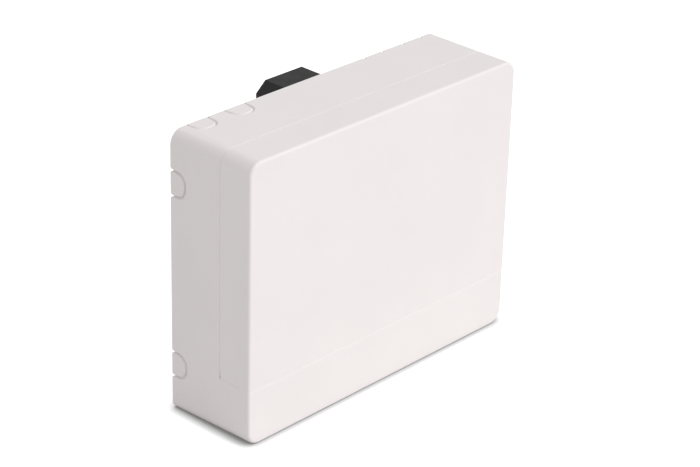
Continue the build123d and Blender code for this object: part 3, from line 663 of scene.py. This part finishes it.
class ShellShape:
    """Where the points of the white shells go, from the frame and the driving dimensions of the part."""

    cover_depth = 13.3 * MM
    corner = 5.0 * MM
    corner_skin = 1.2 * MM
    front_corner = 1.0 * MM
    wall_groove = 0.4 * MM
    groove_rim = 0.9 * wall_groove
    groove_zone = 2 * wall_groove
    back_zone = 2.2 * wall_groove
    knockout_zone = 9.8 * MM
    knockout_half = 4.8 * MM
    knockout_reach = 7.4 * MM
    knockout_bend = 4.08 * MM
    left_pair = (9.1 * MM, 25.4 * MM)
    side_pair = (16.9 * MM, 82.2 * MM)
    flare_start = 1.0 * MM
    flare_run = 2.0 * MM
    hinge_back = 2.2 * MM
    hinge_height = 24.3 * MM
    hollow_radius = 4.31 * MM
    hollow_low = 0.7 * hollow_radius
    strip_height = 20.6 * MM
    strip_room = 0.1 * MM
    strip_rounding = 0.8 * MM
    strip_slope = 0.5 * MM
    strip_hollow_top = 20.35 * MM
    strip_end = 4.0 * MM
    strip_back = 0.3 * MM
    front_softness = 0.8
    side_softness = 0.35
    seam_gap = 0.04 * MM
    strip_gap = 0.05 * MM

    def __init__(self, settings):
        self.settings = settings
        low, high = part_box("rear_housing")
        self.half = high.x
        self.front = low.y
        self.back = high.y
        self.top = high.z
        self.rear_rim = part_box("front_cover")[0].y + self.cover_depth

    def housing(self, point):
        """The housing's points: its lower corners, its knock-outs and the edge of its strip."""
        point = self.lower_corner(point)
        if point.y < self.back - self.knockout_zone:
            return self.strip(point)
        outer = point.z > self.top - self.groove_zone or point.y > self.back - self.back_zone
        if outer and point.z > self.top - self.corner - self.wall_groove:
            for inset in self.left_pair:
                if abs(point.x + self.half - inset) < self.knockout_half + 2 * SLACK:
                    return self.top_knockout(point, inset - self.half)
        if abs(point.x) > self.half - self.groove_zone:
            for z in self.side_pair:
                if abs(point.z - z) < self.knockout_half + 2 * SLACK:
                    return self.side_knockout(point, z)
        return point

    def lower_corner(self, point):
        """The rounding of the lower side edges, which gets tighter towards the rear."""
        out = Vector((abs(point.x) - self.half + self.corner, self.corner - point.z))
        inset = self.corner - out.length
        if min(out) < 0.0 or not -SLACK < inset < self.corner_skin:
            return point
        share = (point.y - self.front) / (self.back - self.front)
        tighter = share * (self.corner - self.settings.lower_corner)
        out = out.normalized() * (self.corner - tighter - inset) + Vector((tighter, tighter))
        point.x = math.copysign(self.half - self.corner + out.x, point.x)
        point.z = self.corner - out.y
        return point

    def top_knockout(self, point, centre):
        """A knock-out of the left pair: moved, its groove deeper and open towards its disc."""
        if point.z > self.top - self.groove_rim:
            bend = max(0.0, self.corner - self.half - point.x)
            move = self.inward(point.x - centre, self.back - point.y, self.settings.top_flare)
            point.z += self.corner - math.sqrt(self.corner**2 - bend**2)
            point.x += move.x
            point.y -= move.y
        elif near(point.z, self.top - self.wall_groove):
            point.z -= self.settings.top_groove - self.wall_groove
        point.x += self.settings.knockout_shift
        return point

    def side_knockout(self, point, centre):
        """A knock-out in a side: its groove deeper and wider."""
        move = self.inward(point.z - centre, self.back - point.y, self.settings.side_flare)
        if near(abs(point.x), self.half - self.wall_groove):
            point.x -= math.copysign(self.settings.side_groove - self.wall_groove, point.x)
        point.z += move.x
        point.y -= move.y
        return point

    def inward(self, across, along, flare):
        """How a point on the disc's side of a groove moves, as a vector across and along the disc."""
        half, reach, bend = self.knockout_half, self.knockout_reach, self.knockout_bend
        out = Vector((max(0.0, abs(across) - half + bend), max(0.0, along - reach + bend)))
        inset = bend - out.length
        if out.length == 0.0 or not self.groove_rim < inset < self.groove_zone:
            return Vector((0.0, 0.0))
        taper = min(1.0, max(0.0, (along - self.flare_start) / self.flare_run))
        move = -out.normalized() * flare * taper
        return Vector((math.copysign(move.x, -across) if move.x else 0.0, move.y))

    def strip(self, point):
        """The strip's upper edge: close under the cover, with a long soft slope on its outside."""
        if point.y > self.rear_rim + self.strip_back:
            return point
        raised = self.strip_gap - self.settings.seam
        if near(point.z, self.strip_height) and self.half - abs(point.x) < self.strip_end:
            point.z += raised
        reach = Vector((self.front + self.hinge_back, self.hinge_height)) - Vector((point.y, point.z))
        in_hollow = abs(reach.length - self.hollow_radius) < SLACK and reach.y > self.hollow_low
        if in_hollow:
            lift = reach.normalized() * raised
            point.y += lift.x
            point.z += lift.y
        return self.sloped(point, in_hollow)

    def sloped(self, point, in_hollow):
        """The rounded outer edge of the strip, drawn out into its slope."""
        inner = self.half - self.front_corner
        out = Vector((max(0.0, abs(point.x) - inner), max(0.0, self.front + self.front_corner - point.y)))
        depth = self.front_corner - out.length
        bottom = self.strip_height - self.strip_rounding
        on_edge = bottom - SLACK < point.z <= self.strip_height + self.strip_room
        if out.length == 0.0 or depth > self.strip_rounding or not on_edge:
            return point
        limit = self.strip_rounding * (self.side_softness if out.x > out.y else self.front_softness)
        shallow = limit * (1.0 - math.exp(-depth / limit))
        outward = out.normalized() * (depth - shallow)
        point.x += math.copysign(outward.x, point.x)
        point.y -= outward.y
        if not in_hollow:
            ceiling = self.strip_hollow_top if out.y > out.x else self.strip_height
            share = min(1.0, max(0.0, (point.z - bottom) / (ceiling - bottom)))
            point.z -= self.strip_slope * (1.0 - share)
        return point

    def cover(self, point):
        """The cover's points: its rear rim close to the housing."""
        if near(point.y, self.rear_rim):
            point.y += self.seam_gap - self.settings.seam
        return point


class HeadShape:
    """Where the points of the latch's pull head go."""

    height = 10.0 * MM
    chamfer = 3.6 * MM

    def __init__(self, settings):
        self.settings = settings
        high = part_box("rail_latch")[1]
        self.back = high.y
        self.top = high.z

    def latch(self, point):
        """The latch's points: the rear face and the top of its head set in a little."""
        if near(point.y, self.back) and point.z > self.top - self.height - SLACK:
            point.y -= self.settings.head_back
        if point.z > self.top - self.chamfer - SLACK:
            point.z -= self.settings.head_down
        return point


class FIBREBOX_OT_shells(bpy.types.Operator):
    """Finish the rear housing and the fold-down cover"""

    bl_idname = "fibre_box.shells"
    bl_label = "Shells"

    def execute(self, context):
        shell = context.scene.fibre_box.shell
        shape = ShellShape(shell)
        # The white moulding's edge rims are lightened a little: wear and painted highlight.
        material = moulded(
            "white_moulding", shell.color, shell.grain, shell.grain_depth, shell.roughness, edge=shell.edge
        )
        for node, rule in (("rear_housing", shape.housing), ("front_cover", shape.cover)):
            piece = finished_shell(node, f"{node}_shell", material, rule)
        return {"FINISHED"}


class FIBREBOX_OT_rail_clip(bpy.types.Operator):
    """Finish the rail bracket and the sliding latch"""

    bl_idname = "fibre_box.rail_clip"
    bl_label = "Rail clip"

    def execute(self, context):
        clip = context.scene.fibre_box.clip
        # The nylon's edge rims are lightened strongly: wear and painted highlight.
        material = moulded(
            "black_nylon", clip.color, grain=0.3 * MM, depth=0.02 * MM, roughness=0.6, wear_and_highlight=1.5,
            edge=0.25 * MM, specular=0.2,
        )
        for node, rule in (("rail_bracket", None), ("rail_latch", HeadShape(clip).latch)):
            piece = finished_shell(node, f"{node}_moulding", material, rule)
        return {"FINISHED"}


class FIBREBOX_OT_latch_spring(bpy.types.Operator):
    """Coil the latch spring between its two seats"""

    bl_idname = "fibre_box.latch_spring"
    bl_label = "Latch spring"

    def execute(self, context):
        clip = context.scene.fibre_box.clip
        low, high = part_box("latch_spring")
        tree = Tree(
            "Coil",
            Radius=clip.spring_radius,
            Wire=clip.wire_radius,
            Turns=clip.spring_turns,
            Height=high.z - low.z - 2 * clip.wire_radius,
            Material=plated_steel("spring_wire", clip.wire_color),
        )
        get = tree.input.outputs
        helix = tree.add(
            "GeometryNodeCurveSpiral",
            {"Resolution": 28, "Rotations": get["Turns"], "Start Radius": get["Radius"],
             "End Radius": get["Radius"], "Height": get["Height"]},
        )
        tree.finished(tree.wired(helix, corners=10, radius=get["Wire"]))
        seat = Vector(((low.x + high.x) / 2, (low.y + high.y) / 2, low.z + clip.wire_radius))
        spring = smooth(tree.grown("latch_spring_coil", [seat]), WIRE_ANGLE)
        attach(spring, "housing")
        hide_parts("latch_spring")
        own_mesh(spring)
        return {"FINISHED"}


class FIBREBOX_OT_adapters(bpy.types.Operator):
    """Finish the connector adapters, their inserts, sleeves and dust caps"""

    bl_idname = "fibre_box.adapters"
    bl_label = "Adapters"

    def execute(self, context):
        inner = context.scene.fibre_box.inner
        # The adapters' edge rims are lightened: wear and painted highlight.
        body = moulded(
            "adapter_plastic", inner.adapter_color, grain=0.25 * MM, depth=0.012 * MM, roughness=0.36,
            wear_and_highlight=1.35,
        )
        insert = moulded(
            "insert_plastic", inner.insert_color, grain=0.25 * MM, depth=0.01 * MM, roughness=0.4
        )
        cap = moulded("cap_plastic", inner.cap_color, grain=0.3 * MM, depth=0.01 * MM, roughness=0.38)
        ceramic = moulded("ceramic", inner.sleeve_color, grain=0.1 * MM, depth=0.002 * MM, roughness=0.16)
        dress(body, *[f"adapter_{i}" for i in ADAPTERS])
        dress(insert, *[f"adapter_insert_{i}" for i in ADAPTERS])
        dress(ceramic, *[f"alignment_sleeve_{i}" for i in ADAPTERS])
        dress(cap, *[f"{kind}_cap_{i}" for i in ADAPTERS for kind in ("port", "inner")])
        return {"FINISHED"}


class FIBREBOX_OT_splice_tray(bpy.types.Operator):
    """Finish the splice tray, its comb and its clear lid"""

    bl_idname = "fibre_box.splice_tray"
    bl_label = "Splice tray"

    def execute(self, context):
        inner = context.scene.fibre_box.inner
        tray = moulded("tray_plastic", inner.tray_color, grain=0.35 * MM, depth=0.015 * MM, roughness=0.44)
        dress(tray, "splice_tray", "cable_clamp_left", "cable_clamp_right")
        dress(soft_rubber("comb_rubber", inner.comb_color), "splice_comb")
        dress(clear_plastic("lid_plastic", inner.lid_color), "tray_lid")
        return {"FINISHED"}


class FIBREBOX_OT_screws(bpy.types.Operator):
    """Turn the screws of the clamps, of the tray and of the rail bracket"""

    bl_idname = "fibre_box.screws"
    bl_label = "Screws"

    def execute(self, context):
        inner = context.scene.fibre_box.inner
        steel = plated_steel("zinc_plate", inner.screw_color)
        screws("clamp_screw_set", "clamp_screws", steel, inner, inner.clamp_spread)
        screws("tray_screw_set", "tray_screws", steel, inner)
        dress(steel, "bracket_screws")
        return {"FINISHED"}


def sun(name, energy, direction, spread):
    """Lamp that shines from a direction onto the box, spread over an angle."""
    data = bpy.data.lights.new(name, "SUN")
    data.energy = energy
    data.angle = spread
    holder = bpy.data.objects.new(name, data)
    bpy.context.scene.collection.objects.link(holder)
    holder.location = Vector(direction)
    holder.rotation_euler = Vector(direction).to_track_quat("Z", "Y").to_euler()


def seen_directly(tree):
    """1 for camera, mirror and glass rays, 0 for the rays that light the object."""
    path = tree.nodes.new("ShaderNodeLightPath")
    total = path.outputs["Is Camera Ray"]
    for key in ("Is Glossy Ray", "Is Transmission Ray"):
        larger = tree.nodes.new("ShaderNodeMath")
        larger.operation = "MAXIMUM"
        tree.links.new(total, larger.inputs[0])
        tree.links.new(path.outputs[key], larger.inputs[1])
        total = larger.outputs[0]
    return total


class FIBREBOX_OT_stage(bpy.types.Operator):
    """Set up the floor, the surroundings, the lamps and the camera"""

    bl_idname = "fibre_box.stage"
    bl_label = "Stage"

    def execute(self, context):
        stage = context.scene.fibre_box.stage
        self.make_floor(stage)
        self.make_surroundings(context, stage)
        sun("key_lamp", stage.key, stage.key_from, stage.key_spread)
        self.make_camera(context, stage)
        context.scene.view_settings.view_transform = "Standard"
        return {"FINISHED"}

    def make_floor(self, stage):
        """White paper, brightened for the camera, with a dark line where the box stands on it."""
        blotch = 40 * MM
        dark, light = 0.995, 1.005
        half = stage.floor_half
        mesh = bpy.data.meshes.new("floor")
        corners = [(-half, -half, 0), (half, -half, 0), (half, half, 0), (-half, half, 0)]
        mesh.from_pydata(corners, [], [(0, 1, 2, 3)])
        floor = bpy.data.objects.new("floor", mesh)
        bpy.context.scene.collection.objects.link(floor)
        shader = Shader("floor_paper")
        grain = shader.range(shader.noise(blotch, detail=2.0), 0.0, 1.0)
        color = shader.mix(grain, tone(stage.floor_color, dark), tone(stage.floor_color, light))
        # Painted contact shadow: ambient occlusion near the box darkens what the camera sees of the floor.
        occlusion = {"Distance": stage.painted_shadow_width}
        open_sky = shader.add("ShaderNodeAmbientOcclusion", occlusion, samples=16).outputs["AO"]
        open_sky = shader.math("MAXIMUM", open_sky, stage.painted_shadow_least_light)
        seen = seen_directly(shader.tree)
        # Painted shadow: for camera rays the paper's colour is mixed towards black, and its lift is faded, by
        # the occlusion.
        unseen = shader.math("SUBTRACT", 1.0, seen)
        lit = shader.math("MAXIMUM", unseen, shader.math("POWER", open_sky, stage.paper_fall))
        color = shader.mix(lit, BLACK, color)
        paper = shader.add("ShaderNodeBsdfDiffuse", {"Color": color}).outputs[0]
        strength = shader.math("MULTIPLY", seen, stage.floor_lift)
        strength = shader.math("MULTIPLY", strength, shader.math("POWER", open_sky, stage.lift_fall))
        lift = shader.add("ShaderNodeEmission", {"Strength": strength}).outputs[0]
        both = shader.add("ShaderNodeAddShader", {0: paper, 1: lift}).outputs[0]
        shader.tree.links.new(both, shader.output.inputs["Surface"])
        shader.tree.nodes.remove(shader.surface)
        mesh.materials.append(shader.material)

    def make_surroundings(self, context, stage):
        """White all round: full for the camera, dimmer where it lights the box."""
        world = bpy.data.worlds.new("white_surroundings")
        context.scene.world = world
        world.use_nodes = True
        tree = world.node_tree
        background = tree.nodes["Background"]
        background.inputs["Color"].default_value = (1, 1, 1, 1)
        ramp = tree.nodes.new("ShaderNodeMapRange")
        tree.links.new(seen_directly(tree), ramp.inputs["Value"])
        ramp.inputs["To Min"].default_value = stage.ambient
        ramp.inputs["To Max"].default_value = 1.0
        tree.links.new(ramp.outputs["Result"], background.inputs["Strength"])

    def make_camera(self, context, stage):
        """Camera on the photograph's line of sight, rolled about it."""
        level = math.cos(stage.elevation)
        side = math.sin(stage.azimuth) * level
        front = math.cos(stage.azimuth) * level
        back = Vector((-side, -front, math.sin(stage.elevation)))
        right = Vector((0, 0, 1)).cross(back).normalized()
        up = back.cross(right)
        turned_right = right * math.cos(stage.roll) + up * math.sin(stage.roll)
        turned_up = up * math.cos(stage.roll) - right * math.sin(stage.roll)
        data = bpy.data.cameras.new("camera")
        data.sensor_width = 36.0
        data.lens = stage.lens
        data.shift_x = stage.shift[0]
        data.shift_y = stage.shift[1]
        data.clip_start = 0.01
        data.clip_end = 20.0
        camera = bpy.data.objects.new("camera", data)
        context.scene.collection.objects.link(camera)
        axes = Matrix((turned_right, turned_up, back)).transposed().to_4x4()
        camera.matrix_world = Matrix.Translation(Vector(stage.target) + back * stage.distance) @ axes
        context.scene.camera = camera


class FIBREBOX_PT_panel(bpy.types.Panel):
    """Settings and operators of the fibre box."""

    bl_idname = "FIBREBOX_PT_panel"
    bl_label = "Fibre box"
    bl_space_type = "VIEW_3D"
    bl_region_type = "UI"
    bl_category = "Fibre box"

    def draw(self, context):
        settings = context.scene.fibre_box
        for group in (settings.shell, settings.clip, settings.inner, settings.stage):
            column = self.layout.column(heading=group.__doc__)
            for key in group.__annotations__:
                column.prop(group, key)
        for operator in OPERATORS:
            self.layout.operator(operator.bl_idname)


OPERATORS = (
    FIBREBOX_OT_shells,
    FIBREBOX_OT_rail_clip,
    FIBREBOX_OT_latch_spring,
    FIBREBOX_OT_adapters,
    FIBREBOX_OT_splice_tray,
    FIBREBOX_OT_screws,
    FIBREBOX_OT_stage,
)
CLASSES = (
    ShellSettings,
    ClipSettings,
    InnerSettings,
    StageSettings,
    FibreBoxSettings,
    *OPERATORS,
    FIBREBOX_PT_panel,
)


def register():
    for cls in CLASSES:
        bpy.utils.register_class(cls)
    bpy.types.Scene.fibre_box = bpy.props.PointerProperty(
        type=FibreBoxSettings, name="Fibre box", description="Settings of the fibre box"
    )


def unregister():
    del bpy.types.Scene.fibre_box
    for cls in reversed(CLASSES):
        bpy.utils.unregister_class(cls)


def main():
    """Registers the classes, runs each operator once and writes the two boxes."""
    register()
    for operator in OPERATORS:
        group, name = operator.bl_idname.split(".")
        getattr(getattr(bpy.ops, group), name)()


if __name__ == "__main__":
    main()
